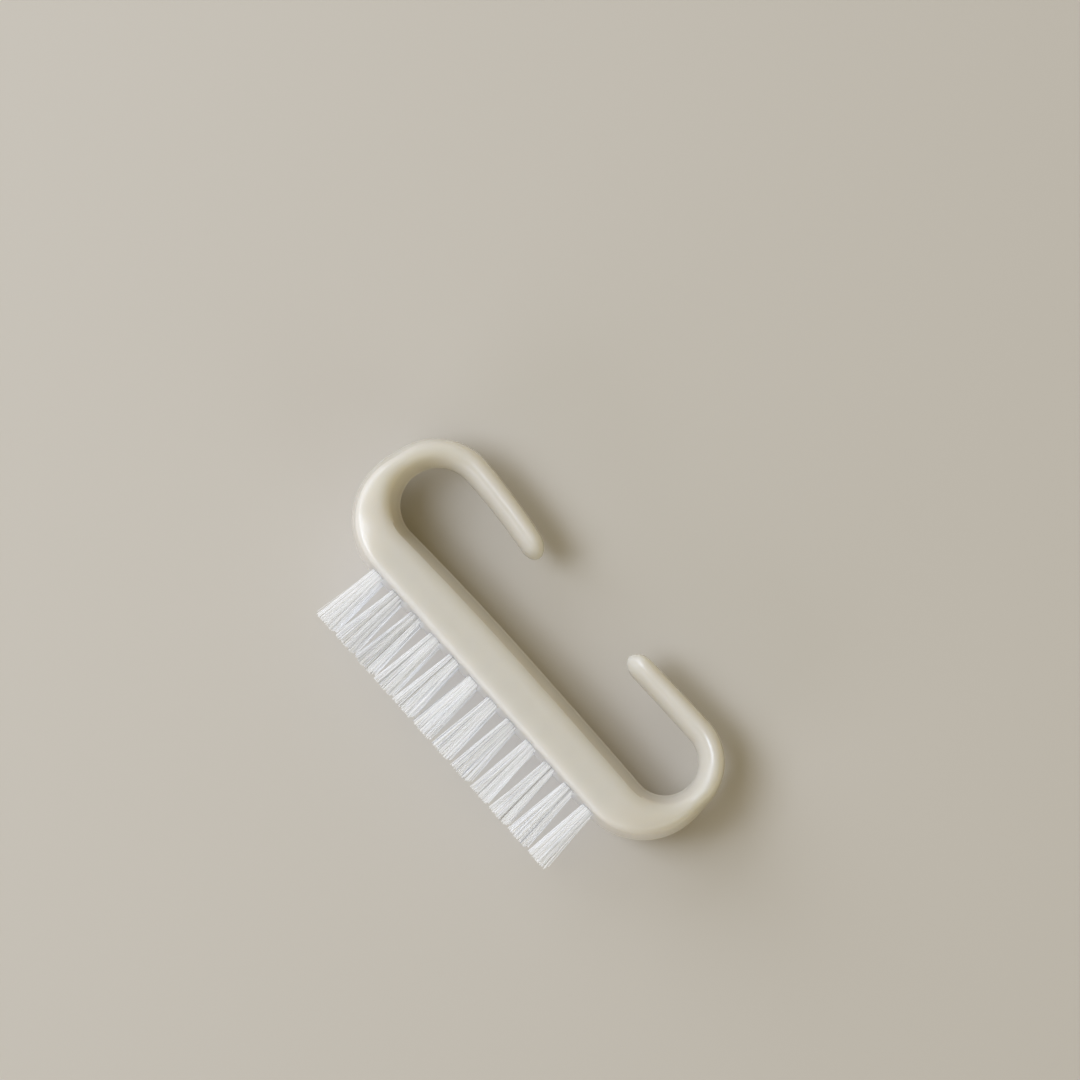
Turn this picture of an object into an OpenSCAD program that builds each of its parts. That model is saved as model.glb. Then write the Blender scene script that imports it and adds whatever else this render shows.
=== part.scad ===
// Nail brush with two hooked handles, lying on its side as it is stored.
// X runs along the brush, Y from the bristle tips to the handles, Z up.
// The origin is at the middle of the bounding box, on the surface it lies on.

/* [Whole brush] */
// Length over the two hooks
overall_l = 100.4; // [94:0.2:120]
// Depth of the plate from one side face to the other
plate_w = 22; // [20:0.5:30]
// Height of the plate between its upper and lower crests
plate_h = 12.7; // [11.5:0.1:16]
// Length of the bristles below the plate's lower crest
free_l = 14.3; // [8:0.1:20]

/* [Left hook] */
// Inner diameter of the left hook's bight
left_bight_d = 16.1; // [14:0.1:20]
// Wall of the left hook at the middle of its bight
left_hook_t = 6.4; // [5:0.1:8]
// How far the plate's top drops from its middle to the left hook
left_dip = 0.9; // [0:0.1:1.5]
// Radius of the left heel, the outer corner below the hook
left_heel_r = 16.1; // [11:0.1:16.5]
// How much further out the left heel reaches than the hook above it
left_lean = 0.7; // [0:0.1:1]
// Edge radius between the left hook's outer wall and its side face
left_edge_r = 0.9; // [0.4:0.1:2]
// Thickness of the left arm where it leaves the hook
left_arm_t = 5.8; // [5:0.1:7]
// Thickness of the left arm at its tip
left_tip_t = 5.2; // [4.8:0.1:7]
// Length of the left arm from the middle of its bight
left_arm_l = 22.7; // [12:0.1:28]
// How far the left arm bends down along its length
left_sag = 1.8; // [0:0.1:2.5]

/* [Right hook] */
// Inner diameter of the right hook's bight
right_bight_d = 14.1; // [13:0.1:20]
// Wall of the right hook at the middle of its bight
right_hook_t = 5.5; // [5:0.1:8]
// How far the plate's top drops from its middle to the right hook
right_dip = 0.3; // [0:0.1:1.5]
// Radius of the right heel, the outer corner below the hook
right_heel_r = 15.2; // [11:0.1:16.5]
// How much further out the right heel reaches than the hook above it
right_lean = 0.4; // [0:0.1:1]
// Edge radius between the right hook's outer wall and its side face
right_edge_r = 2; // [0.4:0.1:2.5]
// Thickness of the right arm where it leaves the hook
right_arm_t = 5.5; // [5:0.1:7]
// Thickness of the right arm at its tip
right_tip_t = 5.2; // [4.8:0.1:7]
// Length of the right arm from the middle of its bight
right_arm_l = 21.5; // [12:0.1:28]
// How far the right arm bends down along its length
right_sag = 0.2; // [0:0.1:2.5]

/* [Moulded section] */
// Depth of the arms from side to side
arm_w = 9; // [7:0.5:14]
// How far the inner and upper walls fall from their crest to the side face
in_draft = 2.1; // [1:0.1:2.5]
// How far the outer and lower walls rise from their crest to the side face
out_draft = 1.75; // [0.8:0.05:2]
// Edge radius between the plate's upper wall and its side face
plate_in_r = 1; // [0.2:0.1:1.5]
// Edge radius between the plate's lower wall and its side face
plate_out_r = 1.8; // [0.5:0.1:2.5]
// Edge radius between a hook's inner wall and its side face
hook_in_r = 1.9; // [0.4:0.1:2.5]
// Rise of the hooks' rounded side faces
hook_crown = 0.4; // [0:0.1:0.8]
// Length of the arms' rounded ends
nose_l = 3.8; // [2:0.1:5]
// Width of the fine ridge along the parting line
ridge_w = 0.5; // [0.3:0.1:0.8]
// Height of the fine ridge along the parting line
ridge_h = 0.12; // [0.05:0.01:0.2]

/* [Bristles] */
// Tufts along the brush
columns = 12; // [6:1:13]
// Tufts across the brush, lettered from the side that it lies on
rows = 3; // [1:1:3]
// Distance between the rows
row_pitch = 6; // [5:0.1:6.4]
// Distance from the left end of the plate's straight crest to the first tuft
left_inset = 1.8; // [1:0.1:4]
// Distance from the last tuft to the right end of the plate's straight crest
right_inset = 1.1; // [1:0.1:4]
// Diameter of the drilled holes
hole_d = 3.2; // [2.8:0.1:3.4]
// Depth of the drilled holes at the plate's lower crest
hole_l = 7; // [5:0.1:8]
// Strands in one tuft
strands = 12; // [6:1:12]
// Radius of one strand
strand_r = 0.32; // [0.2:0.01:0.34]
// How much shorter the shortest strands of a tuft are
tip_rag = 0.7; // [0:0.05:1.2]
// How far the last tuft's tips lean along the brush
tip_lean = 0.7; // [0:0.1:1]

/* [Anchors] */
// Height of the flat wire, along the hole
anchor_h = 1.5; // [1:0.1:2]
// Thickness of the flat wire
anchor_t = 0.4; // [0.25:0.05:0.5]
// How far each end of the wire bites into the wall of the hole
anchor_bite = 0.15; // [0.05:0.05:0.3]
// Thickness of the folded bristles beyond the wire
fold_t = 0.9; // [0.5:0.1:1.2]
// Turn of the wire against the length of the brush, in degrees
anchor_turn = 25; // [0:5:90]

/* [Hidden] */
// Gap around the parts that are pressed into a hole
fit = 0.03;
// Recess of a tuft's packed root in the mouth of its hole
root_recess = 0.3;
// Depth to which the strands are fused into their packed root
root_hold = 0.6;
// Point angle of the drill
drill_angle = 118;
// Overrun of a cut past the face that it opens
overrun = 1;
$fn = 48;

// Steps round a hook, along the plate, round an arm's end and round an edge
hook_steps = 28;
plate_steps = 8;
nose_steps = 5;
edge_steps = 4;
// Steps along an arm and up a drafted wall
arm_steps = 4;
wall_steps = 3;
// Bend of the drafted walls, where 1 is straight
wall_power = 1.2;
// Part of a hook over which its edges change from the plate's to its own
soften_share = 0.36;
// Parts of the hooks between which their section turns oval
left_oval_shares = [0.45, 0.95];
right_oval_shares = [0.2, 0.8];
// Angles at which the oval section takes over the walls and the edges
oval_wall_angle = 48;
oval_side_angle = 80;
// Most of a side face that one edge radius may take
edge_share = 0.45;
// Place of an arm's foremost point, from its inner to its outer wall
nose_share = 0.45;
// Height of the parting ridge's foot above the middle, against its width
ridge_foot_share = 0.5;
// Places of the inner and outer strands between the tuft's axis and its edge
inner_ring_share = 0.4;
// Part of the strands that stand in the inner ring
inner_count_share = 0.25;
// Part of the distance between tufts that a tuft's tips spread over
tip_spread_share = 0.92;
// How evenly the tufts flare, where 1 is straight
flare_power = 1.1;
// Places of a strand's rings along its length
strand_ring_shares = [0, 0.5, 1];

strand_sides = 3;
full_turn = 360;
quarter_turn = 90;

mid_z = plate_w / 2;
plate_top = free_l + plate_h;
left_top = plate_top - left_dip + left_bight_d + left_arm_t;
right_top = plate_top - right_dip + right_bight_d + right_arm_t;
overall_h = max(left_top, right_top) + ridge_h;

// Place of the outer crest at the ends of the brush, under the parting ridge
end_x = overall_l / 2 - ridge_h;
// Middle of a hook's bight and radius of its heel
left_centre = bight_centre(left_bight_d, left_hook_t, left_lean, left_dip);
right_centre = bight_centre(right_bight_d, right_hook_t, right_lean, right_dip);
left_r = heel_radius(left_heel_r, left_centre, left_bight_d / 2 + left_hook_t, left_lean);
right_r = heel_radius(right_heel_r, right_centre, right_bight_d / 2 + right_hook_t, right_lean);

first_x = left_r - end_x + left_inset;
last_x = end_x - right_r - right_inset;
tuft_pitch = (last_x - first_x) / (columns - 1);
row_letters = ["a", "b", "c"];
root_r = hole_d / 2 - fit;
anchor_w = hole_d + 2 * anchor_bite;
anchor_y = free_l + hole_l - fold_t - anchor_h / 2;

function two_digits(n) = str(n < 10 ? "0" : "", n);
function tuft_name(row, column) = str("tuft_", row_letters[row], two_digits(column + 1));
function anchors_name(row) = str("anchors_", row_letters[row]);

function mix(a, b, share) = a + (b - a) * share;
function smooth(share) = share * share * (3 - 2 * share);
function ray(angle) = [cos(angle), sin(angle)];
function bend(a, corner, b, share) = mix(mix(a, corner, share), mix(corner, b, share), share);
function part_way(from, to, share) = min(max((share - from) / (to - from), 0), 1);
function reversed(list) = [for (i = [len(list) - 1:-1:0]) list[i]];

// Middle of a bight, drawn for the right end
function bight_centre(bight_d, hook_t, lean, dip) =
    [end_x - lean - hook_t - bight_d / 2, plate_top - dip + bight_d / 2];

// Radius of a heel, kept so small that the hook's own disc stands out above it
function heel_radius(heel_r, centre, hook_r, lean) =
    let (height = centre.y - free_l)
    min(heel_r, height + lean - sqrt(2 * lean * (height - hook_r)));

// Place of a tuft across and along the brush
function tuft_x(column) = first_x + column * tuft_pitch;
function tuft_z(row) = mid_z + (row - (rows - 1) / 2) * row_pitch;

// Half of the moulded section, from the inner crest round the upper side face
// to the outer crest. A point is its distance from the inner crest and its
// height above the parting line. slim narrows it from plate to arm, soft turns
// its edges from the plate's into the hook's, edge_r at the outer wall, and
// oval turns the whole into half an oval.
function half_section(t, slim, soft, oval, edge_r) =
    let (
        half_w = mix(plate_w, arm_w, slim) / 2,
        crown = hook_crown * soft,
        edge_z = half_w - crown,
        face = t - in_draft - out_draft,
        in_r = min(mix(plate_in_r, hook_in_r, soft), face * edge_share),
        out_r = min(mix(plate_out_r, edge_r, soft), face * edge_share),
        foot_z = ridge_w * ridge_foot_share,
        in_edge = 1 - in_r / edge_z,
        out_edge = 1 - out_r / edge_z,
        wall = function(draft, share) [draft * pow(share, wall_power), share * edge_z],
        side = function(n) [n, edge_z + crown * (1 - pow(2 * (n - in_draft) / face - 1, 2))],
        flip = function(p) [t - p.x, p.y],
        climb = function(draft, edge)
            [for (i = [0:wall_steps - 1]) wall(draft, mix(foot_z / edge_z, edge, i / wall_steps))],
        squared = concat(
            climb(in_draft, in_edge),
            [for (i = [0:edge_steps]) bend(
                wall(in_draft, in_edge),
                [in_draft, edge_z],
                side(in_draft + in_r),
                i / edge_steps
            )],
            [side(in_draft + face / 2)],
            [for (i = [0:edge_steps]) bend(
                side(in_draft + face - out_r),
                [in_draft + face, edge_z],
                flip(wall(out_draft, out_edge)),
                i / edge_steps
            )],
            [for (p = reversed(climb(out_draft, out_edge))) flip(p)]
        ),
        foot_angle = asin(foot_z / half_w),
        climbing = concat(
            [for (i = [0:wall_steps - 1]) mix(foot_angle, oval_wall_angle, i / wall_steps)],
            [for (i = [0:edge_steps]) mix(oval_wall_angle, oval_side_angle, i / edge_steps)]
        ),
        falling = [for (angle = reversed(climbing)) 2 * quarter_turn - angle],
        angles = concat(climbing, [quarter_turn], falling)
    )
    [for (i = [0:len(angles) - 1])
        mix(squared[i], [t / 2 * (1 - cos(angles[i])), half_w * sin(angles[i])], oval)
    ];

// The whole closed section, both sides of the parting line
function section(t, slim, soft, oval, edge_r) =
    let (upper = half_section(t, slim, soft, oval, edge_r))
    concat(
        [[-ridge_h, 0]],
        upper,
        [[t + ridge_h, 0]],
        [for (p = reversed(upper)) [p.x, -p.y]]
    );

// One ring of the loft. It spans from the inner point to the outer point of
// the outline, and shrink draws it in towards an arm's foremost point.
function ring(inner, outer, slim = 1, soft = 1, oval = 1, edge_r = plate_out_r, shrink = 1) =
    let (t = norm(outer - inner), across = (outer - inner) / t)
    [for (p = section(t, slim, soft, oval, edge_r))
        let (at = inner + across * mix(nose_share * t, p.x, shrink))
        [at.x, at.y, mid_z + p.y * shrink]
    ];

// A point of a hook's outer outline, which runs as a belt round two discs: round
// the heel of radius r, straight on, then round the bight to the arm's top
function hook_outer(share, centre, bight_r, hook_t, arm_t, r) =
    let (
        heel = [end_x - r, free_l + r],
        apart = centre - heel,
        rise = r - bight_r - hook_t,
        leaving = atan2(apart.y, apart.x) - acos(min(rise / norm(apart), 1)),
        heel_l = PI / 2 * r * (1 + leaving / quarter_turn),
        straight_l = sqrt(max(apart * apart - rise * rise, 0)),
        angle = quarter_turn * (2 * share - 1),
        gone = (heel_l + straight_l) * part_way(-quarter_turn, leaving, angle)
    )
    angle > leaving
    ? centre + (bight_r + mix(hook_t, arm_t, part_way(leaving, quarter_turn, angle))) * ray(angle)
    : heel + r * ray(mix(-quarter_turn, leaving, min(gone / heel_l, 1)))
        + max(gone - heel_l, 0) * ray(leaving + quarter_turn);

// The rings of one hook and its arm, from the plate to the arm's tip, and after
// them the arm's foremost point. They are drawn for the right end, and side is
// -1 at the left end.
function end_rings(
    side, centre, bight_d, hook_t, r, edge_r, oval_shares, arm_t, tip_t, arm_l, sag
) =
    let (
        bight_r = bight_d / 2,
        turned = function(p) [side * p.x, p.y],
        reach = arm_l - nose_l,
        inner_at = function(gone) centre + [-gone, bight_r - sag * pow(gone / arm_l, 2)],
        inner_tip = inner_at(reach),
        outer_tip = inner_tip + [0, tip_t],
        slope = [-1, -2 * sag * reach / pow(arm_l, 2)],
        ahead = nose_l * slope / norm(slope),
        tip = turned(mix(inner_tip, outer_tip, nose_share) + ahead)
    )
    concat(
        [for (i = [0:hook_steps])
            let (share = i / hook_steps)
            ring(
                turned(centre + bight_r * ray(quarter_turn * (2 * share - 1))),
                turned(hook_outer(share, centre, bight_r, hook_t, arm_t, r)),
                smooth(share),
                smooth(part_way(0, soften_share, share)),
                smooth(part_way(oval_shares[0], oval_shares[1], share)),
                edge_r
            )
        ],
        [for (i = [1:arm_steps])
            let (share = i / arm_steps, inner = inner_at(share * reach))
            ring(turned(inner), turned(inner + [0, mix(arm_t, tip_t, share)]))
        ],
        [for (i = [1:nose_steps - 1])
            let (angle = quarter_turn * i / nose_steps, on = ahead * sin(angle))
            ring(turned(inner_tip + on), turned(outer_tip + on), shrink = cos(angle))
        ],
        [[[tip.x, tip.y, mid_z]]]
    );

// The rings along the plate between the two hooks, ends left out
function plate_rings() =
    [for (i = [1:plate_steps - 1])
        let (
            share = i / plate_steps,
            inner_x = mix(-left_centre.x, right_centre.x, share),
            dip = inner_x < 0
                ? left_dip * pow(inner_x / left_centre.x, 2)
                : right_dip * pow(inner_x / right_centre.x, 2)
        )
        ring([inner_x, plate_top - dip], [mix(left_r - end_x, end_x - right_r, share), free_l], 0, 0, 0)
    ];

// The faces of a closed loft through rings of equal count. Its two ends run
// to the points that stand before the first ring and after the last.
function loft_faces(ring_count, count) =
    let (
        at = function(r, i) 1 + r * count + i % count,
        end = 1 + ring_count * count
    )
    concat(
        [for (i = [0:count - 1]) [0, at(0, i), at(0, i + 1)]],
        [for (r = [0:ring_count - 2], i = [0:count - 1])
            [at(r, i), at(r + 1, i), at(r + 1, i + 1)]
        ],
        [for (r = [0:ring_count - 2], i = [0:count - 1])
            [at(r, i), at(r + 1, i + 1), at(r, i + 1)]
        ],
        [for (i = [0:count - 1]) [end, at(ring_count - 1, i + 1), at(ring_count - 1, i)]]
    );

// The moulding without its holes
module shell() {
    left = end_rings(
        -1, left_centre, left_bight_d, left_hook_t, left_r, left_edge_r,
        left_oval_shares, left_arm_t, left_tip_t, left_arm_l, left_sag
    );
    right = end_rings(
        1, right_centre, right_bight_d, right_hook_t, right_r, right_edge_r,
        right_oval_shares, right_arm_t, right_tip_t, right_arm_l, right_sag
    );
    chain = concat(reversed(left), plate_rings(), right);
    count = len(plate_rings()[0]);
    polyhedron([for (r = chain) each r], loft_faces(len(chain) - 2, count));
}

// A drilled shape with a pointed end, standing on its mouth
module drilled(r, l) {
    rotate_extrude()
        polygon([[0, 0], [r, 0], [r, l], [0, l + r / tan(drill_angle / 2)]]);
}

// Carries its children from a mouth at the origin into the plate
module at_tuft(row, column, y) {
    translate([tuft_x(column), y, tuft_z(row)])
        rotate([-quarter_turn, 0, 0])
            children();
}

// The flat wire, centred, with a gap all round
module wire(gap = 0) {
    rotate([0, 0, anchor_turn])
        cube([anchor_w + 2 * gap, anchor_t + 2 * gap, anchor_h + 2 * gap], center = true);
}

module body() {
    color("#e6e0d0")
        translate([0, -overall_h / 2, 0])
            difference() {
                shell();
                for (row = [0:rows - 1], column = [0:columns - 1]) {
                    at_tuft(row, column, free_l - overrun)
                        drilled(hole_d / 2, hole_l + overrun);
                    at_tuft(row, column, anchor_y)
                        wire(fit);
                }
            }
}

// Height of the plate's lower wall where a row of holes opens
function mouth_y(row) =
    free_l + out_draft * pow(abs(tuft_z(row) - mid_z) / mid_z, wall_power) + root_recess;

// Place of a strand on a disc of radius 1, in an inner and an outer ring
function strand_place(i) =
    let (
        inner_count = round(strands * inner_count_share),
        inner = i < inner_count,
        turn = inner ? i / inner_count : (i - inner_count) / (strands - inner_count)
    )
    (inner ? inner_ring_share : 1) * ray(full_turn * turn);

// One strand from its packed root to its cut tip, as a three-sided rod. Its
// places are across the tuft, and its heights are above the mouth of the root.
module strand(root, tip, low, high, turn) {
    points = [for (share = strand_ring_shares, i = [0:strand_sides - 1])
        let (
            centre = mix(root, tip, pow(share, flare_power)),
            corner = centre + strand_r * ray(turn + full_turn * i / strand_sides)
        )
        [corner.x, corner.y, mix(high, low, share)]
    ];
    last = (len(strand_ring_shares) - 1) * strand_sides;
    sides = [for (r = [0:len(strand_ring_shares) - 2], i = [0:strand_sides - 1])
        let (
            a = r * strand_sides + i,
            b = r * strand_sides + (i + 1) % strand_sides
        )
        each [[a, b, b + strand_sides], [a, b + strand_sides, a + strand_sides]]
    ];
    ends = [[2, 1, 0], [last, last + 1, last + 2]];
    polyhedron(points, concat(sides, ends));
}

// The tuft's packed root, folded round the wire, with the strands fused to it
module tuft(row, column) {
    mouth = mouth_y(row);
    root_l = free_l + hole_l - mouth - fit;
    root_edge = root_r - strand_r - fit;
    tip_edge = min(tuft_pitch, row_pitch) / 2 * tip_spread_share - strand_r;
    lean = [tip_lean * column / (columns - 1), 0];
    rag = concat([0], rands(0, tip_rag, strands - 1, columns * row + column));
    color("#f3f3f0")
        translate([0, -overall_h / 2, 0])
            union() {
                difference() {
                    at_tuft(row, column, mouth)
                        drilled(root_r, root_l);
                    at_tuft(row, column, anchor_y)
                        wire(fit);
                }
                at_tuft(row, column, mouth)
                    for (i = [0:strands - 1])
                        strand(
                            root_edge * strand_place(i),
                            tip_edge * strand_place(i) + lean,
                            rag[i] - mouth,
                            root_hold,
                            full_turn * i / strands
                        );
            }
}

module anchors(row) {
    color("silver")
        translate([0, -overall_h / 2, 0])
            for (column = [0:columns - 1])
                at_tuft(row, column, anchor_y)
                    wire();
}

body();
for (row = [0:rows - 1], column = [0:columns - 1])
    tuft(row, column);
for (row = [0:rows - 1])
    anchors(row);
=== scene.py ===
import math
import random

import bmesh
import bpy
from bpy.props import FloatProperty, FloatVectorProperty, IntProperty, PointerProperty
from mathutils import Matrix, Vector

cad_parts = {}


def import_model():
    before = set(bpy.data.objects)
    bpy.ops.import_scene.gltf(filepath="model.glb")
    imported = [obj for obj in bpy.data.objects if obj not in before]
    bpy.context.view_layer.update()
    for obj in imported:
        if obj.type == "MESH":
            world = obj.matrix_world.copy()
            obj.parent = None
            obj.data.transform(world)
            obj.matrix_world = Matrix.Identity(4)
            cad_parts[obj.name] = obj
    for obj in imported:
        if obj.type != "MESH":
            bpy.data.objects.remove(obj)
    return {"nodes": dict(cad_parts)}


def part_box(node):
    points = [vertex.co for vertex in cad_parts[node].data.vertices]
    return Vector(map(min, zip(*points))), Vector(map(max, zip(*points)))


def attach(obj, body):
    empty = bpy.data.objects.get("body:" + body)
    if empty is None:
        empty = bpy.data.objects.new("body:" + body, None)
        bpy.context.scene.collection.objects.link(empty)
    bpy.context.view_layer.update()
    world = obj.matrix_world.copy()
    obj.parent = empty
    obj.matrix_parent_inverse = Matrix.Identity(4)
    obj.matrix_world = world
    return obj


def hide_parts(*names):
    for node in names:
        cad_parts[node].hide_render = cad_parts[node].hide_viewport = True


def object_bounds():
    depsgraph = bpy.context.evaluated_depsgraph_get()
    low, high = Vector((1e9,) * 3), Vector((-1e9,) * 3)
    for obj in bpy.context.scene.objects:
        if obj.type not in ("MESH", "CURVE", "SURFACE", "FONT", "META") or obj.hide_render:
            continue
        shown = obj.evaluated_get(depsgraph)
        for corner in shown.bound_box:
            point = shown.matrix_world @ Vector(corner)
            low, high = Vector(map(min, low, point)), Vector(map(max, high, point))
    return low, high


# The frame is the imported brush. It lies on its side: X runs along it, Y from
# the bristle tips to the handles, and Z up from the surface it lies on.
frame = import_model()
CAD_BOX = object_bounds()
BODY_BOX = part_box("body")
BODY_L = 0.1004  # over the parting ridge at both hooks
PLATE_W = BODY_BOX[1].z - BODY_BOX[0].z
MID_Z = PLATE_W / 2  # height of the parting plane
TIPS_Y = CAD_BOX[0].y
ROW_LETTERS = "abc"

# Turns round the oval section where the points of a wall and of an edge end.
OVAL_WALL, OVAL_SIDE = math.radians(48), math.radians(80)
FACE_PARTS = (0.25, 0.5, 0.75)  # points across a side face
ARM_EDGE_R = 0.001  # stands in where the section is all plate or all oval
DRILL_SIDES = 32
WELD = 1e-7  # vertices closer than this are one
BODY_CREASE, TUFT_CREASE = math.radians(35), math.radians(80)

# How unevenly a tuft is drawn, as parts of the sizes that they scale.
FILAMENT_SHADE = "filament_draw"  # attribute that holds how much painted shade a filament gets
FILAMENT_ROOM = 0.55  # filament's middle to wire or wall, in diameters
SPREAD_FROM = 0.0006  # how deep in its hole's mouth a tuft starts to spread
BUNCH_JITTER = 0.3  # of a bunch's width
TIP_STRAY, LEG_BOW = 0.5, 0.25  # of a filament's stray
TIP_RAG_POWER = 1.5  # above 1, most filaments are nearly full length
OWN_SHADE, SHADE_POWER = 0.6, 2  # painted shade: own draw against the bunch's, and few deeply shaded ones

# Real sizes of the materials' patterns.
CLOUD_L, CLOUD_DEPTH = 0.03, 0.18  # faint clouds in the moulding's colour
GRAIN_L, GRAIN_H = 0.0006, 0.00004  # the mould's polish
DRAWING_L = 0.0003  # drawing lines on the wire

# The light comes cool from soft boxes and warm from all round, so that
# highlights are whitish and shadows brown.
WORLD_TINT, WORLD_STRENGTH = (1.0, 0.81, 0.36, 1.0), 0.31
LAMP_TARGET = (0.0, 0.0, 0.01)
KEY_PLACE, KEY_TINT = (-0.6, -0.45, 1.3), (0.735, 0.82, 1.0)
LAMPS = (  # name, place, size, power and tint
    ("key", KEY_PLACE, 0.8, 11.9, KEY_TINT),
    ("key_core", KEY_PLACE, 0.35, 2.2, KEY_TINT),  # firmer middle of the shadows
    ("strip", (-0.07, -0.51, 1.41), 0.3, 0.75, (0.8, 0.87, 1.0)),  # streaks along the arms
    ("left_window", (-1.3, 0.0, 0.75), 1.2, 11.4, (0.74, 0.82, 1.0)),
    ("low_front", (0.0, -1.467, 0.312), 0.8, 5.8, (0.78, 0.79, 1.0)),  # the lower walls
    ("fill", (1.36, 0.0, 0.634), 0.8, 2.2, (0.8, 0.93, 1.0)),
)
CAMERA_TARGET = (-0.0145, 0.02125)  # on the brush's upper side
SENSOR_W = 36.0  # in millimetres, as the lens is
CLIP_START, CLIP_END = 0.01, 20.0

bl_info = {
    "name": "Nail brush",
    "version": (1, 0, 0),
    "blender": (4, 5, 0),
    "location": "3D View > Sidebar > Nail brush",
    "description": "Models a moulded nail brush with two hooked handles and nylon tufts",
    "category": "Object",
}


def length(name, description, default):
    """A size in metres that shows in the scene's own units."""
    return FloatProperty(
        name=name, description=description, default=default, min=0.0, unit="LENGTH", precision=5
    )


def share(name, description, default):
    """A plain ratio."""
    return FloatProperty(name=name, description=description, default=default, precision=3)


def linear(hex_code):
    """An sRGB hex colour as linear red, green and blue."""
    codes = (int(hex_code[i:i + 2], 16) / 255 for i in (1, 3, 5))
    return tuple(c / 12.92 if c <= 0.04045 else ((c + 0.055) / 1.055) ** 2.4 for c in codes)


def colour(name, description, hex_code):
    """A colour that is written as sRGB hex."""
    return FloatVectorProperty(
        name=name, description=description, subtype="COLOR", size=3, min=0.0, max=1.0,
        default=linear(hex_code),
    )


class NailBrushBody(bpy.types.PropertyGroup):
    """Sizes of the moulded body."""

    plate_h: length("Plate height", "Between the plate's upper and lower crests", 0.0127)
    free_l: length("Bristle length", "Below the plate's lower crest", 0.0143)
    ridge_w: length("Parting ridge width", "Width of the ridge along the parting line", 0.0005)
    ridge_h: length("Parting ridge height", "Height of the ridge along the parting line", 0.00006)

    left_bight_d: length("Left bight", "Inner diameter of the left hook", 0.0161)
    left_hook_t: length("Left hook wall", "At the middle of its bight", 0.0064)
    left_dip: length("Left dip", "Drop of the plate's top at the left hook", 0.0009)
    left_arm_t: length("Left arm root", "Thickness where the arm leaves the hook", 0.0058)
    left_tip_t: length("Left arm tip", "Thickness at the arm's tip", 0.0052)
    left_arm_l: length("Left arm length", "Beyond the hook", 0.0227)
    left_sag: length("Left arm drop", "How far the arm bends down towards its tip", 0.0018)
    left_heel_r: length("Left heel", "Outer corner radius below the left hook", 0.0161)
    left_lean: length("Left lean", "How much further out the heel is than the hook", 0.0007)
    left_edge_r: length("Left outer edge", "Edge radius at the left hook's outer wall", 0.0009)
    left_oval_from: share("Left oval from", "Part of the hook where it starts to turn oval", 0.45)
    left_oval_to: share("Left oval to", "Part of the hook where it is all oval", 0.95)

    right_bight_d: length("Right bight", "Inner diameter of the right hook", 0.0141)
    right_hook_t: length("Right hook wall", "At the middle of its bight", 0.0055)
    right_dip: length("Right dip", "Drop of the plate's top at the right hook", 0.0003)
    right_arm_t: length("Right arm root", "Thickness where the arm leaves the hook", 0.0055)
    right_tip_t: length("Right arm tip", "Thickness at the arm's tip", 0.0052)
    right_arm_l: length("Right arm length", "Beyond the hook", 0.0215)
    right_sag: length("Right arm drop", "How far the arm bends down towards its tip", 0.0002)
    right_heel_r: length("Right heel", "Outer corner radius below the right hook", 0.0152)
    right_lean: length("Right lean", "How much further out the heel is than the hook", 0.0004)
    right_edge_r: length("Right outer edge", "Edge radius at the right hook's outer wall", 0.002)
    right_oval_from: share("Right oval from", "Part of the hook where it starts to turn oval", 0.2)
    right_oval_to: share("Right oval to", "Part of the hook where it is all oval", 0.8)

    arm_w: length("Arm depth", "From side to side, of its oval section", 0.009)
    in_draft: length("Upper draft", "Fall of the inner wall to the side face", 0.0021)
    out_draft: length("Lower draft", "Rise of the outer wall to the side face", 0.00175)
    plate_in_r: length("Plate upper edge", "Height of the edge at the plate's upper wall", 0.0011)
    plate_in_roll: length("Plate upper roll", "Width that rolls to the upper wall", 0.0028)
    plate_in_cut: length("Plate upper crease", "How far the roll leans over at the wall", 0.0012)
    plate_out_r: length("Plate lower edge", "Height of the edge at the plate's lower wall", 0.0018)
    plate_out_roll: length("Plate lower roll", "Width that rolls to the lower wall", 0.001)
    hook_in_r: length("Hook inner edge", "Edge radius at a hook's inner wall", 0.0019)
    hook_crown: length("Hook crown", "Rise of a hook's side faces", 0.0004)
    nose_l: length("Arm end", "Length of the arm's rounded end", 0.0038)
    nose_share: share("Arm end place", "Foremost point, from inner to outer wall", 0.45)
    oval_skew: share("Oval skew", "How far the oval's top lies beyond its middle", 0.14)
    soften_share: share("Softening", "Part of a hook over which its edges change", 0.36)
    wall_power: share("Wall bend", "Bend of the drafted walls, where 1 is straight", 1.2)
    edge_share: share("Widest edge", "Most of a side face that one edge may take", 0.45)

    hook_steps: IntProperty(name="Hook steps", description="Rings round a hook", default=64)
    plate_steps: IntProperty(name="Plate steps", description="Rings along the plate", default=24)
    arm_steps: IntProperty(name="Arm steps", description="Rings along an arm", default=8)
    nose_steps: IntProperty(name="Nose steps", description="Rings round an arm's end", default=10)
    edge_steps: IntProperty(name="Edge steps", description="Points round an edge", default=7)
    wall_steps: IntProperty(name="Wall steps", description="Points up a drafted wall", default=5)


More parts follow.
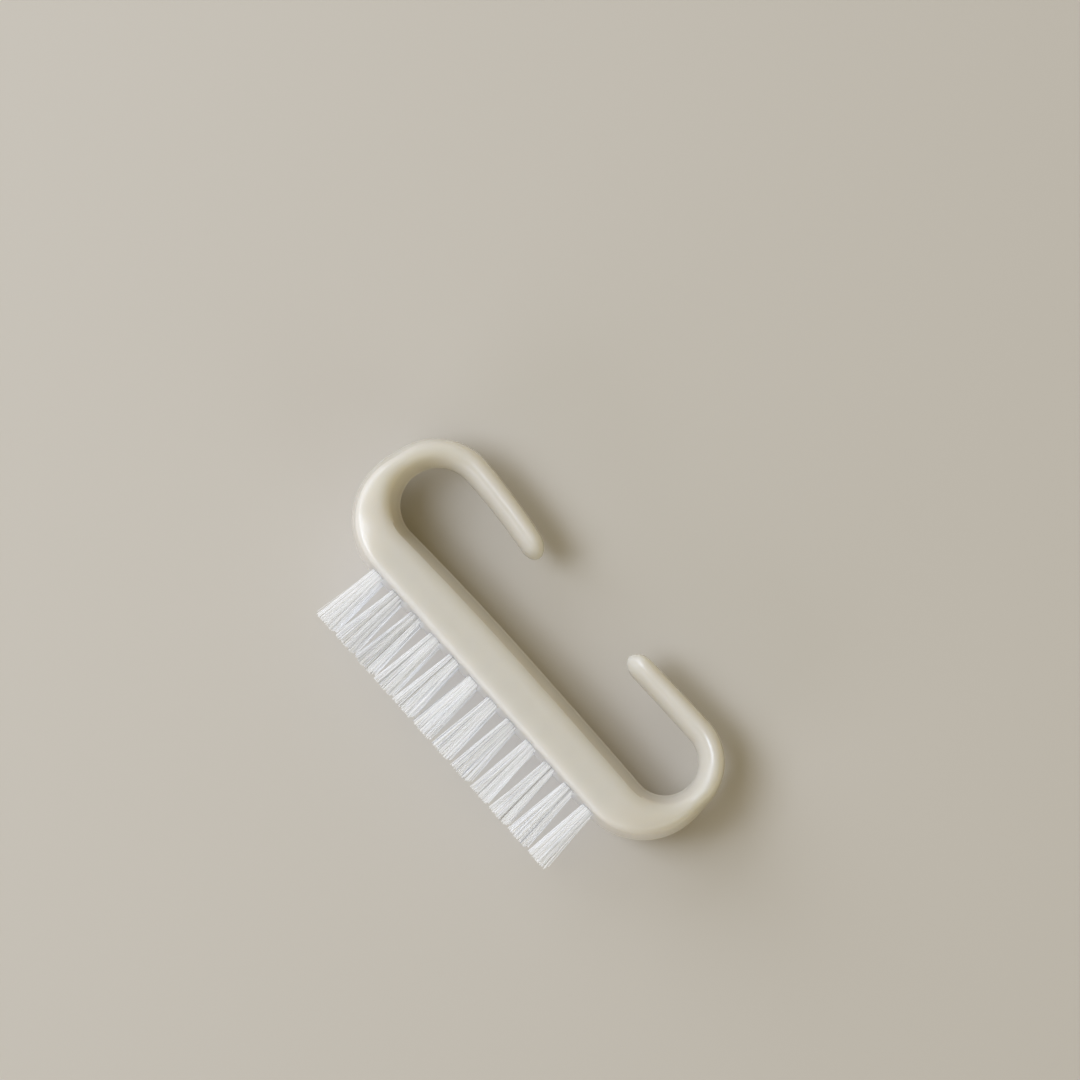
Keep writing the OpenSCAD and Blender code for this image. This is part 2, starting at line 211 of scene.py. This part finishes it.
class NailBrushTufts(bpy.types.PropertyGroup):
    """Sizes of the tufts, their holes and their filaments."""

    columns: IntProperty(name="Columns", description="Tufts along the brush", default=12)
    rows: IntProperty(name="Rows", description="Tufts across the brush", default=3)
    row_pitch: length("Row pitch", "Distance between the rows", 0.006)
    field_x: FloatProperty(
        name="First column", description="Place along the brush", default=-0.03218, unit="LENGTH",
        precision=5,
    )
    field_l: length("Field length", "From the first column to the last", 0.06596)
    hole_d: length("Hole", "Diameter of a drilled hole", 0.0032)
    hole_l: length("Hole depth", "At the plate's lower crest", 0.007)
    drill_angle: FloatProperty(
        name="Drill point", description="Point angle of the drill",
        default=math.radians(118), subtype="ANGLE",
    )
    filament_d: length("Filament", "Diameter of one nylon filament", 0.00024)
    packing: share("Packing", "Distance between filaments in a hole, in diameters", 1.09)
    flare: share("Flare", "Spread of the tips against the packed root", 1.78)
    flare_power: share("Flare bend", "How evenly a tuft flares, where 1 is straight", 1.12)
    tip_rag: length("Uneven tips", "How much shorter the shortest filaments are", 0.0007)
    tip_lean: length("Lean", "How far the last tuft's tips lean along the brush", 0.0007)
    stray: length("Stray", "How far a filament's tip strays sideways", 0.00022)
    clump: length("Clump", "Width of a bunch of filaments that lean together", 0.0004)
    pull: share("Clumping", "How far tips are drawn to the middle of their bunch", 0.5)
    anchor_t: length("Anchor thickness", "Thickness of the flat wire", 0.0004)
    fold_t: length("Fold", "Folded filaments beyond the wire", 0.0009)
    anchor_turn: FloatProperty(
        name="Anchor turn", description="Turn of the wire against the brush's length",
        default=math.radians(25), subtype="ANGLE",
    )
    filament_sides: IntProperty(name="Filament sides", description="Sides of a filament", default=5)
    leg_steps: IntProperty(name="Leg steps", description="Rings along a free filament", default=3)
    seed: IntProperty(name="Seed", description="Start of the tufts' random draws", default=7)


class NailBrushFinish(bpy.types.PropertyGroup):
    """Colours of the brush's materials, and the painted shade of its filaments."""

    ivory: colour("Ivory", "Polypropylene of the body", "#d6d1c7")
    ivory_deep: colour("Ivory, clouds", "Deeper tint in the body's faint clouds", "#d3c8a8")
    nylon: colour("Nylon", "Brightest filaments", "#f5f0e7")
    # Painted shade: the colour of filaments deep in a tuft's shade, not a colour of the nylon
    # itself.
    nylon_painted_shade: colour("Nylon, dull", "Dullest filaments", "#858077")
    steel: colour("Steel", "Anchor wire", "#b9b8b4")


class NailBrushStage(bpy.types.PropertyGroup):
    """The floor and the camera."""

    floor: colour("Floor", "Pale matt floor", "#c7c0b4")
    floor_size: length("Floor size", "Side of the floor", 6.0)
    camera_height: length("Camera height", "Above the brush's upper side", 0.9)
    camera_x: length("Camera place, X", "Point that the camera stands over", 0.0432)
    camera_y: length("Camera place, Y", "Point that the camera stands over", 0.0164)
    frame_width: length("Frame width", "What the picture spans at the brush", 0.2251)
    roll: FloatProperty(
        name="Roll", description="Turn of the brush in the picture",
        default=math.radians(48.2), subtype="ANGLE",
    )


def mix(a, b, part):
    """What lies between a and b at that part of the way."""
    return a + (b - a) * part


def smooth(part):
    """Eases in and out from 0 to 1."""
    return part * part * (3 - 2 * part)


def ray(angle):
    """The unit vector at an angle."""
    return Vector((math.cos(angle), math.sin(angle)))


def bend(a, corner, b, part):
    """A point of the rounded corner from a to b."""
    return mix(mix(a, corner, part), mix(corner, b, part), part)


def end_sizes(body, side):
    """The sizes of one hook and its arm, as plain values.

    Its outer outline leaves the heel at the angle "leaving" and then runs
    straight for "straight_l", up to the bight."""
    word = "left" if side < 0 else "right"
    e = {key: getattr(body, f"{word}_{key}") for key in (
        "bight_d", "hook_t", "dip", "arm_t", "tip_t", "arm_l", "sag", "heel_r",
        "lean", "edge_r", "oval_from", "oval_to",
    )}
    end_x = BODY_L / 2 - body.ridge_h
    e["bight_r"] = e["bight_d"] / 2
    e["centre"] = Vector((
        end_x - e["lean"] - e["hook_t"] - e["bight_r"],
        body.free_l + body.plate_h - e["dip"] + e["bight_r"],
    ))
    e["heel"] = Vector((end_x - e["heel_r"], body.free_l + e["heel_r"]))
    apart, rise = e["centre"] - e["heel"], e["heel_r"] - e["hook_t"] - e["bight_r"]
    e["leaving"] = math.atan2(apart.y, apart.x) - math.acos(rise / apart.length)
    e["straight_l"] = math.sqrt(apart.length_squared - rise * rise)
    return e


def half_section(body, t, slim, soft, oval, edge_r):
    """Half of the moulded section, from the inner crest to the outer crest.

    slim narrows it from plate to arm, soft changes its edges from the plate's
    to the hook's, edge_r at the outer wall, and oval makes it half an oval."""
    half_z = mix(PLATE_W, body.arm_w, slim) / 2
    crown = body.hook_crown * soft
    edge_z = half_z - crown
    in_draft, out_draft = body.in_draft, body.out_draft
    face = t - in_draft - out_draft
    widest = face * body.edge_share
    in_r = min(mix(body.plate_in_r, body.hook_in_r, soft), widest)
    out_r = min(mix(body.plate_out_r, edge_r, soft), widest)
    in_roll = min(mix(body.plate_in_roll, body.hook_in_r, soft), widest)
    out_roll = min(mix(body.plate_out_roll, edge_r, soft), widest)
    in_cut = body.plate_in_cut * (1 - soft)

    def wall(draft, part):
        return Vector((draft * part ** body.wall_power, part * edge_z))

    def side(n):
        return Vector((n, edge_z + crown * (1 - (2 * (n - in_draft) / face - 1) ** 2)))

    def flip(p):
        return Vector((t - p.x, p.y))

    foot = body.ridge_w / 2 / edge_z
    in_edge, out_edge = 1 - in_r / edge_z, 1 - out_r / edge_z
    walls = [i / body.wall_steps for i in range(body.wall_steps)]
    edges = [i / body.edge_steps for i in range(body.edge_steps + 1)]
    squared = (
        [wall(in_draft, mix(foot, in_edge, part)) for part in walls]
        + [bend(wall(in_draft, in_edge), Vector((in_draft + in_cut, edge_z)),
                side(in_draft + in_roll), part) for part in edges]
        + [side(mix(in_draft + in_roll, in_draft + face - out_roll, part)) for part in FACE_PARTS]
        + [bend(side(in_draft + face - out_roll), Vector((in_draft + face, edge_z)),
                flip(wall(out_draft, out_edge)), part) for part in edges]
        + [flip(wall(out_draft, mix(foot, out_edge, part))) for part in reversed(walls)]
    )
    first = math.asin(body.ridge_w / 2 / half_z)
    quarter = (
        [mix(first, OVAL_WALL, part) for part in walls]
        + [mix(OVAL_WALL, OVAL_SIDE, part) for part in edges]
    )
    turns = (
        quarter + [mix(OVAL_SIDE, math.pi - OVAL_SIDE, part) for part in FACE_PARTS]
        + [math.pi - turn for turn in reversed(quarter)]
    )

    def oval_point(turn):
        part = (1 - math.cos(turn)) / 2
        skew = 4 * body.oval_skew * part * (1 - part)
        return Vector((t * (part + skew), half_z * math.sin(turn)))

    return [mix(p, oval_point(turn), oval) for p, turn in zip(squared, turns)]


def section(body, t, slim, soft, oval, edge_r):
    """The closed section, both sides of the parting ridge."""
    upper = half_section(body, t, slim, soft, oval, edge_r)
    lower = [Vector((p.x, -p.y)) for p in reversed(upper)]
    return [Vector((-body.ridge_h, 0))] + upper + [Vector((t + body.ridge_h, 0))] + lower


def ring(body, inner, outer, slim=1.0, soft=1.0, oval=1.0, edge_r=ARM_EDGE_R, shrink=1.0):
    """One ring of the loft between an inner and an outer point of the outline.

    shrink draws it in to the foremost point of an arm's rounded end."""
    t = (outer - inner).length
    across = (outer - inner) / t
    points = []
    for p in section(body, t, slim, soft, oval, edge_r):
        at = inner + across * mix(body.nose_share * t, p.x, shrink)
        points.append(Vector((at.x, TIPS_Y + at.y, MID_Z + p.y * shrink)))
    return points


def hook_outer(e, part):
    """A point of the hook's outer outline, from under the plate to the arm.

    The outline runs as a belt round two discs, the heel and the bight."""
    angle, quarter, leaving = (part - 0.5) * math.pi, math.pi / 2, e["leaving"]
    if angle > leaving:
        wall = mix(e["hook_t"], e["arm_t"], (angle - leaving) / (quarter - leaving))
        return e["centre"] + (e["bight_r"] + wall) * ray(angle)
    heel_l = e["heel_r"] * (leaving + quarter)
    gone = (heel_l + e["straight_l"]) * (angle + quarter) / (leaving + quarter)
    turn = min(gone, heel_l) / e["heel_r"] - quarter
    return e["heel"] + e["heel_r"] * ray(turn) + max(gone - heel_l, 0) * ray(leaving + quarter)


def end_rings(body, side):
    """The rings of one hook and its arm, from the plate to the arm's tip."""
    e = end_sizes(body, side)
    reach = e["arm_l"] - body.nose_l

    def turned(p):
        return Vector((side * p.x, p.y))

    rings = []
    for i in range(body.hook_steps + 1):
        part = i / body.hook_steps
        inner = e["centre"] + e["bight_r"] * ray((part - 0.5) * math.pi)
        oval = (part - e["oval_from"]) / (e["oval_to"] - e["oval_from"])
        rings.append(ring(
            body, turned(inner), turned(hook_outer(e, part)), smooth(part),
            smooth(min(part / body.soften_share, 1)), smooth(min(max(oval, 0), 1)), e["edge_r"],
        ))
    for i in range(1, body.arm_steps + 1):
        part = i / body.arm_steps
        drop = e["sag"] * (part * reach / e["arm_l"]) ** 2
        inner = e["centre"] + Vector((-part * reach, e["bight_r"] - drop))
        outer = inner + Vector((0, mix(e["arm_t"], e["tip_t"], part)))
        rings.append(ring(body, turned(inner), turned(outer)))
    # The rounded end carries on the way that the arm's last ring heads.
    along = Vector((-1, -2 * e["sag"] * reach / e["arm_l"] ** 2)).normalized() * body.nose_l
    for i in range(1, body.nose_steps):
        angle = math.pi / 2 * i / body.nose_steps
        ahead, shrink = along * math.sin(angle), math.cos(angle)
        rings.append(ring(body, turned(inner + ahead), turned(outer + ahead), shrink=shrink))
    tip = turned(mix(inner, outer, body.nose_share) + along)
    return rings, Vector((tip.x, TIPS_Y + tip.y, MID_Z))


def plate_rings(body):
    """The rings along the plate between the two hooks, ends left out."""
    left, right = end_sizes(body, -1), end_sizes(body, 1)
    plate_top = body.free_l + body.plate_h
    rings = []
    for i in range(1, body.plate_steps):
        part = i / body.plate_steps
        inner_x = mix(-left["centre"].x, right["centre"].x, part)
        hook = left if inner_x < 0 else right
        inner = Vector((inner_x, plate_top - hook["dip"] * (inner_x / hook["centre"].x) ** 2))
        outer = Vector((mix(-left["heel"].x, right["heel"].x, part), body.free_l))
        rings.append(ring(body, inner, outer, slim=0.0, soft=0.0, oval=0.0))
    return rings


def link(mesh, name):
    """An object at the origin for a finished mesh."""
    piece = bpy.data.objects.new(name, mesh)
    bpy.context.scene.collection.objects.link(piece)
    return piece


def shaded(mesh, crease):
    """Shades a mesh smooth up to its creases."""
    mesh.polygons.foreach_set("use_smooth", [True] * len(mesh.polygons))
    mesh.set_sharp_from_angle(angle=crease)


def finished(bm, name, crease=BODY_CREASE):
    """Turns a bmesh into a piece, with its faces turned outwards."""
    bmesh.ops.remove_doubles(bm, verts=bm.verts, dist=WELD)
    bmesh.ops.recalc_face_normals(bm, faces=bm.faces)
    mesh = bpy.data.meshes.new(name)
    bm.to_mesh(mesh)
    bm.free()
    shaded(mesh, crease)
    return link(mesh, name)


def extruded(bm, edges, places):
    """Extrudes loops of edges and sets the new vertices.

    edges holds the last rings' edges and places maps a vertex to where its
    copy goes. Returns the new edges and the map from old vertex to new."""
    old = {v for e in edges for v in e.verts}
    made = bmesh.ops.extrude_edge_only(bm, edges=edges)["geom"]
    new_edges = [g for g in made if isinstance(g, bmesh.types.BMEdge)]
    copies = {}
    for v in (g for g in made if isinstance(g, bmesh.types.BMVert)):
        source = next(e.other_vert(v) for e in v.link_edges if e.other_vert(v) in old)
        copies[source] = v
        v.co = places[source]
    ring_edges = [e for e in new_edges if not any(v in old for v in e.verts)]
    return ring_edges, copies


def circle(bm, r, sides):
    """The vertices and the edges of a new circle round the origin."""
    verts = bmesh.ops.create_circle(bm, cap_ends=False, radius=r, segments=sides)["verts"]
    return verts, list(dict.fromkeys(e for v in verts for e in v.link_edges))


def lofted(bm, rings, first_point, last_point):
    """Lofts a closed skin through rings of equal count, pointed at both ends."""
    verts, edges = circle(bm, 1.0, len(rings[0]))
    first_edges = edges
    for v, place in zip(verts, rings[0]):
        v.co = place
    for points in rings[1:]:
        edges, copies = extruded(bm, edges, dict(zip(verts, points)))
        verts = [copies[v] for v in verts]
    for loop, point in ((first_edges, first_point), (edges, last_point)):
        cap = bmesh.ops.edgeloop_fill(bm, edges=loop)["faces"]
        centre = bmesh.ops.poke(bm, faces=cap)["verts"][0]
        centre.co = point


def tuft_places(tufts):
    """Row, column, x and z of every tuft."""
    pitch = tufts.field_l / (tufts.columns - 1)
    for row in range(tufts.rows):
        z = MID_Z + (row - (tufts.rows - 1) / 2) * tufts.row_pitch
        for column in range(tufts.columns):
            yield row, column, tufts.field_x + column * pitch, z


def drill_cutters(body, tufts):
    """One mesh of all the drilled holes, standing out past the plate."""
    bm = bmesh.new()
    r = tufts.hole_d / 2
    tip = r / math.tan(tufts.drill_angle / 2)
    out = body.free_l / 4
    for _, _, x, z in tuft_places(tufts):
        loop, edges = circle(bm, r, DRILL_SIDES)
        bmesh.ops.transform(
            bm, verts=loop,
            matrix=Matrix.Translation((x, TIPS_Y + body.free_l - out, z))
            @ Matrix.Rotation(math.pi / 2, 4, "X"),
        )
        bmesh.ops.edgeloop_fill(bm, edges=edges)
        deep = {v: v.co + Vector((0, out + tufts.hole_l, 0)) for v in loop}
        edges, _ = extruded(bm, edges, deep)
        end = bmesh.ops.edgeloop_fill(bm, edges=edges)["faces"]
        bmesh.ops.poke(bm, faces=end)["verts"][0].co += Vector((0, tip, 0))
    return finished(bm, "drill_cutters")


def cut_away(piece, cutters):
    """Cuts the second object out of the first and removes it."""
    cut = piece.modifiers.new("drilled", "BOOLEAN")
    cut.operation, cut.solver, cut.object = "DIFFERENCE", "EXACT", cutters
    graph = bpy.context.evaluated_depsgraph_get()
    mesh = bpy.data.meshes.new_from_object(piece.evaluated_get(graph))
    piece.modifiers.clear()
    old, piece.data = piece.data, mesh
    mesh.name = piece.name
    bpy.data.meshes.remove(old)
    bpy.data.meshes.remove(cutters.data)
    shaded(mesh, BODY_CREASE)


def node(tree, kind, links=None, **settings):
    """Adds a shader node. links maps an input to a value or another's output."""
    made = tree.nodes.new(kind)
    for key, value in settings.items():
        setattr(made, key, value)
    for key, value in (links or {}).items():
        if isinstance(value, bpy.types.NodeSocket):
            tree.links.new(value, made.inputs[key])
        else:
            made.inputs[key].default_value = value
    return made


def new_material(name):
    """A new material and its node tree, emptied."""
    material = bpy.data.materials.new(name)
    material.use_nodes = True
    material.node_tree.nodes.clear()
    return material, material.node_tree


def rgba(value):
    """A colour with full alpha."""
    return (*value, 1.0)


def moulded_polypropylene(finish):
    """Injection-moulded polypropylene, ivory, from a polished mould.

    It has a soft gloss and lets light about a centimetre in, so its shaded
    walls turn warm."""
    material, tree = new_material("injection_moulded_polypropylene")
    place = node(tree, "ShaderNodeTexCoord").outputs["Object"]
    cloud = node(tree, "ShaderNodeTexNoise", {
        "Vector": place, "Scale": 1 / CLOUD_L, "Detail": 3.0,
    })
    tint = node(tree, "ShaderNodeMix", {
        "Factor": cloud.outputs["Fac"], "A": rgba(finish.ivory),
        "B": rgba(mix(Vector(finish.ivory), Vector(finish.ivory_deep), CLOUD_DEPTH)),
    }, data_type="RGBA")
    grain = node(tree, "ShaderNodeTexNoise", {
        "Vector": place, "Scale": 1 / GRAIN_L, "Detail": 2.0,
    })
    bump = node(tree, "ShaderNodeBump", {
        "Height": grain.outputs["Fac"], "Strength": 0.05, "Distance": GRAIN_H,
    })
    shader = node(tree, "ShaderNodeBsdfPrincipled", {
        "Base Color": tint.outputs["Result"], "Roughness": 0.15, "IOR": 1.49,
        "Subsurface Weight": 1.0, "Subsurface Radius": (1.0, 0.95, 0.85),
        "Subsurface Scale": 0.01, "Normal": bump.outputs["Normal"],
    })
    node(tree, "ShaderNodeOutputMaterial", {"Surface": shader.outputs["BSDF"]})
    return material


def drawn_nylon(finish):
    """Drawn nylon monofilament, milky white with a fine gloss.

    Each filament gets a painted shade, which stands in for the shade among
    the filaments, so the fan shows fine lengthwise lines."""
    material, tree = new_material("drawn_nylon_monofilament")
    # Painted shade: each filament's drawn amount darkens it towards the shaded nylon colour.
    draw = node(tree, "ShaderNodeAttribute", attribute_name=FILAMENT_SHADE)
    tint = node(tree, "ShaderNodeMix", {
        "Factor": draw.outputs["Fac"], "A": rgba(finish.nylon), "B": rgba(finish.nylon_painted_shade),
    }, data_type="RGBA")
    shader = node(tree, "ShaderNodeBsdfPrincipled", {
        "Base Color": tint.outputs["Result"], "Roughness": 0.32, "IOR": 1.53,
        "Subsurface Weight": 1.0, "Subsurface Radius": (1.0, 1.0, 1.0),
        "Subsurface Scale": 0.0008,
    })
    node(tree, "ShaderNodeOutputMaterial", {"Surface": shader.outputs["BSDF"]})
    return material


def rolled_steel(finish):
    """Flat rolled steel wire with lengthwise drawing lines."""
    material, tree = new_material("flat_rolled_steel_wire")
    place = node(tree, "ShaderNodeTexCoord").outputs["Object"]
    lines = node(tree, "ShaderNodeTexNoise", {
        "Vector": place, "Scale": 1 / DRAWING_L, "Detail": 2.0,
    })
    rough = node(tree, "ShaderNodeMapRange", {
        "Value": lines.outputs["Fac"], "To Min": 0.25, "To Max": 0.45,
    })
    shader = node(tree, "ShaderNodeBsdfPrincipled", {
        "Base Color": rgba(finish.steel), "Metallic": 1.0, "Roughness": rough.outputs["Result"],
    })
    node(tree, "ShaderNodeOutputMaterial", {"Surface": shader.outputs["BSDF"]})
    return material


def matt_floor(stage):
    """Matt painted board for the floor, which shows only soft shadows."""
    material, tree = new_material("matt_painted_board")
    shader = node(tree, "ShaderNodeBsdfPrincipled", {
        "Base Color": rgba(stage.floor), "Roughness": 0.9, "Specular IOR Level": 0.2,
    })
    node(tree, "ShaderNodeOutputMaterial", {"Surface": shader.outputs["BSDF"]})
    return material


class NAILBRUSH_OT_body(bpy.types.Operator):
    """Lofts the moulded body through its hooks and plate and drills it."""

    bl_idname = "nailbrush.body"
    bl_label = "Mould the body"

    def execute(self, context):
        body, tufts = context.scene.nail_brush_body, context.scene.nail_brush_tufts
        left, left_tip = end_rings(body, -1)
        right, right_tip = end_rings(body, 1)
        bm = bmesh.new()
        lofted(bm, left[::-1] + plate_rings(body) + right, left_tip, right_tip)
        piece = finished(bm, "moulded_body")
        cut_away(piece, drill_cutters(body, tufts))
        piece.data.materials.append(moulded_polypropylene(context.scene.nail_brush_finish))
        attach(piece, "root")
        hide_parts("body")
        return {"FINISHED"}


def filament_roots(tufts):
    """Packed places of the folded filaments, on one side of the anchor wire."""
    gap = tufts.filament_d * tufts.packing
    room = tufts.filament_d * FILAMENT_ROOM
    edge = tufts.hole_d / 2 - room
    v = tufts.anchor_t / 2 + room
    places, line = [], 0
    while v < edge:
        half = math.sqrt(edge * edge - v * v)
        count = int(2 * half / gap)
        shift = gap / 2 if line % 2 else 0.0
        for i in range(count + 1):
            u = (i - count / 2) * gap + shift
            if u * u + v * v <= edge * edge:
                places.append(Vector((u, v)))
        v += gap * math.sqrt(3) / 2
        line += 1
    return places


def filament_path(tufts, root, tips, heights, mouth, bows):
    """Centres and turns of one folded filament, from tip to tip.

    A point is (u, v, y), with u along the wire, v across it and y up from the
    tips. The turn leads the filament round the wire. mouth holds the y where
    the tuft starts to spread and the y where the fold begins."""
    wire_end = mouth["wire_end"]
    path = []
    for side, tip, height, bow in zip((1, -1), tips, heights, bows):
        own = Vector((root.x, side * root.y))
        leg = []
        for i in range(tufts.leg_steps + 1):
            part = 1 - i / tufts.leg_steps
            at = mix(own, tip, part ** tufts.flare_power) + bow * math.sin(math.pi * part)
            leg.append((at.x, at.y, mix(mouth["y"], height, part)))
        leg.append((own.x, own.y, wire_end))
        angle = 0.0 if side > 0 else math.pi
        leg = [(point, angle) for point in leg]
        if side > 0:
            path += leg
            for angle in (math.pi / 3, 2 * math.pi / 3):
                path.append((
                    (root.x, root.y * math.cos(angle),
                     wire_end + min(root.y, tufts.fold_t) * math.sin(angle)), angle,
                ))
        else:
            path += leg[::-1]
    return path


def tuft_piece(body, tufts, row, column, x, z, roots):
    """One tuft of filaments, each folded round the anchor wire."""
    draws = random.Random(tufts.seed * 1000 + row * 100 + column)
    turn = Matrix.Rotation(tufts.anchor_turn, 2)
    lean = Vector((tufts.tip_lean * column / (tufts.columns - 1), 0.0))
    away = abs(z - MID_Z) / MID_Z
    mouth = {
        "y": body.free_l + body.out_draft * away ** body.wall_power + SPREAD_FROM,
        "wire_end": body.free_l + tufts.hole_l - tufts.fold_t,
    }

    def world(u, v, y):
        across = turn @ Vector((u, v))
        return Vector((x + across.x, TIPS_Y + y, z - across.y))

    bunches = {}

    def bunch_of(own):
        """The middle and the painted shade of the bunch that a filament leans to."""
        key = (round(own.x / tufts.clump), round(own.y / tufts.clump))
        if key not in bunches:
            jitter = Vector((draws.gauss(0, 1), draws.gauss(0, 1))) * BUNCH_JITTER
            bunches[key] = ((Vector(key) + jitter) * tufts.clump, draws.random())
        return bunches[key]

    def tip_of(own):
        stray = Vector((draws.gauss(0, 1), draws.gauss(0, 1))) * tufts.stray
        sideways = turn.transposed() @ lean
        drawn_in = mix(own, bunch_of(own)[0], tufts.pull)
        return drawn_in * tufts.flare + stray * TIP_STRAY + sideways

    r, sides = tufts.filament_d / 2, tufts.filament_sides
    paths, painted_shades = [], []
    for root in roots:
        own = (root, Vector((root.x, -root.y)))
        tips = [tip_of(o) for o in own]
        heights = [draws.random() ** TIP_RAG_POWER * tufts.tip_rag for _ in own]
        bows = [
            Vector((draws.gauss(0, 1), draws.gauss(0, 1))) * tufts.stray * LEG_BOW for _ in own
        ]
        paths.append(filament_path(tufts, root, tips, heights, mouth, bows))
        # Each leg's painted shade, partly shared with its bunch, stands in for shade among the
        # filaments.
        painted_shades.append([
            mix(bunch_of(o)[1], draws.random(), OWN_SHADE) ** SHADE_POWER for o in own
        ])

    def ring_of(path, step):
        (u, v, y), angle = path[step]
        places = []
        for i in range(sides):
            phi = 2 * math.pi * i / sides
            c, s = r * math.cos(phi), r * math.sin(phi)
            places.append(world(u + c, v + s * math.cos(angle), y + s * math.sin(angle)))
        return places

    bm = bmesh.new()
    # Holds each filament's painted shade for the nylon material.
    shade_layer = bm.verts.layers.float.new(FILAMENT_SHADE)
    steps, verts, edges = len(paths[0]), [], []
    for path in paths:
        loop, loop_edges = circle(bm, r, sides)
        for v, place in zip(loop, ring_of(path, 0)):
            v.co = place
        verts += loop
        edges += loop_edges
    bmesh.ops.edgeloop_fill(bm, edges=edges)
    for step in range(steps):
        if step:
            places = [p for path in paths for p in ring_of(path, step)]
            edges, copies = extruded(bm, edges, dict(zip(verts, places)))
            verts = [copies[v] for v in verts]
        for i, v in enumerate(verts):
            v[shade_layer] = painted_shades[i // sides][2 * step // steps]
    bmesh.ops.edgeloop_fill(bm, edges=edges)
    piece = finished(bm, f"nylon_tuft_{ROW_LETTERS[row]}{column + 1:02d}", TUFT_CREASE)
    # Real filaments let the light through; these would blacken the gaps.
    piece.visible_shadow = False
    return piece


class NAILBRUSH_OT_tufts(bpy.types.Operator):
    """Sets the tufts of folded nylon filaments into their holes."""

    bl_idname = "nailbrush.tufts"
    bl_label = "Set the tufts"

    def execute(self, context):
        body, tufts = context.scene.nail_brush_body, context.scene.nail_brush_tufts
        nylon = drawn_nylon(context.scene.nail_brush_finish)
        roots = filament_roots(tufts)
        for row, column, x, z in tuft_places(tufts):
            piece = tuft_piece(body, tufts, row, column, x, z, roots)
            piece.data.materials.append(nylon)
            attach(piece, "root")
            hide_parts(f"tuft_{ROW_LETTERS[row]}{column + 1:02d}")
        return {"FINISHED"}


class NAILBRUSH_OT_anchors(bpy.types.Operator):
    """Gives the anchor wires in the holes their steel."""

    bl_idname = "nailbrush.anchors"
    bl_label = "Finish the anchors"

    def execute(self, context):
        steel = rolled_steel(context.scene.nail_brush_finish)
        for row in range(context.scene.nail_brush_tufts.rows):
            mesh = frame["nodes"][f"anchors_{ROW_LETTERS[row]}"].data
            mesh.materials.clear()
            mesh.materials.append(steel)
        return {"FINISHED"}


def soft_box(name, place, size, power, tint):
    """A square area lamp that faces the brush."""
    lamp = bpy.data.lights.new(name, "AREA")
    lamp.size, lamp.energy, lamp.color = size, power, tint
    holder = bpy.data.objects.new(name, lamp)
    holder.location = place
    aim = Vector(LAMP_TARGET) - Vector(place)
    holder.rotation_euler = aim.to_track_quat("-Z", "Y").to_euler()
    bpy.context.scene.collection.objects.link(holder)


class NAILBRUSH_OT_stage(bpy.types.Operator):
    """Lays the floor, hangs the lamps and stands the camera over the brush."""

    bl_idname = "nailbrush.stage"
    bl_label = "Set the stage"

    def execute(self, context):
        stage = context.scene.nail_brush_stage
        bm = bmesh.new()
        bmesh.ops.create_grid(bm, x_segments=1, y_segments=1, size=stage.floor_size / 2)
        floor = finished(bm, "floor")
        floor.data.materials.append(matt_floor(stage))

        world = bpy.data.worlds.new("studio")
        world.use_nodes = True
        background = world.node_tree.nodes["Background"].inputs
        background["Color"].default_value = WORLD_TINT
        background["Strength"].default_value = WORLD_STRENGTH
        context.scene.world = world

        for lamp in LAMPS:
            soft_box(*lamp)
        context.scene.view_settings.view_transform = "Standard"

        optics = bpy.data.cameras.new("camera")
        camera = bpy.data.objects.new("camera", optics)
        place = Vector((stage.camera_x, stage.camera_y, PLATE_W + stage.camera_height))
        target = Vector((*CAMERA_TARGET, PLATE_W))
        back = (place - target).normalized()
        up = Vector((-math.sin(stage.roll), math.cos(stage.roll), 0.0))
        right = up.cross(back).normalized()
        camera.matrix_world = Matrix.Translation(place) @ Matrix(
            (right, back.cross(right), back)
        ).transposed().to_4x4()
        optics.sensor_width = SENSOR_W
        optics.lens = SENSOR_W * (place - target).length / stage.frame_width
        optics.clip_start, optics.clip_end = CLIP_START, CLIP_END
        context.scene.collection.objects.link(camera)
        context.scene.camera = camera
        return {"FINISHED"}


class NAILBRUSH_PT_panel(bpy.types.Panel):
    """Lists the steps that make the brush."""

    bl_idname = "NAILBRUSH_PT_panel"
    bl_label = "Nail brush"
    bl_space_type = "VIEW_3D"
    bl_region_type = "UI"
    bl_category = "Nail brush"

    def draw(self, context):
        for operator in OPERATORS:
            self.layout.operator(operator.bl_idname)


SETTINGS = {
    "nail_brush_body": NailBrushBody,
    "nail_brush_tufts": NailBrushTufts,
    "nail_brush_finish": NailBrushFinish,
    "nail_brush_stage": NailBrushStage,
}
OPERATORS = (NAILBRUSH_OT_body, NAILBRUSH_OT_tufts, NAILBRUSH_OT_anchors, NAILBRUSH_OT_stage)


def register():
    for name, group in SETTINGS.items():
        bpy.utils.register_class(group)
        setattr(bpy.types.Scene, name, PointerProperty(type=group))
    for item in (*OPERATORS, NAILBRUSH_PT_panel):
        bpy.utils.register_class(item)


def unregister():
    for item in reversed((*OPERATORS, NAILBRUSH_PT_panel)):
        bpy.utils.unregister_class(item)
    for name, group in SETTINGS.items():
        delattr(bpy.types.Scene, name)
        bpy.utils.unregister_class(group)


def main():
    register()
    bpy.ops.nailbrush.body()
    bpy.ops.nailbrush.tufts()
    bpy.ops.nailbrush.anchors()
    bpy.ops.nailbrush.stage()


if __name__ == "__main__":
    main()
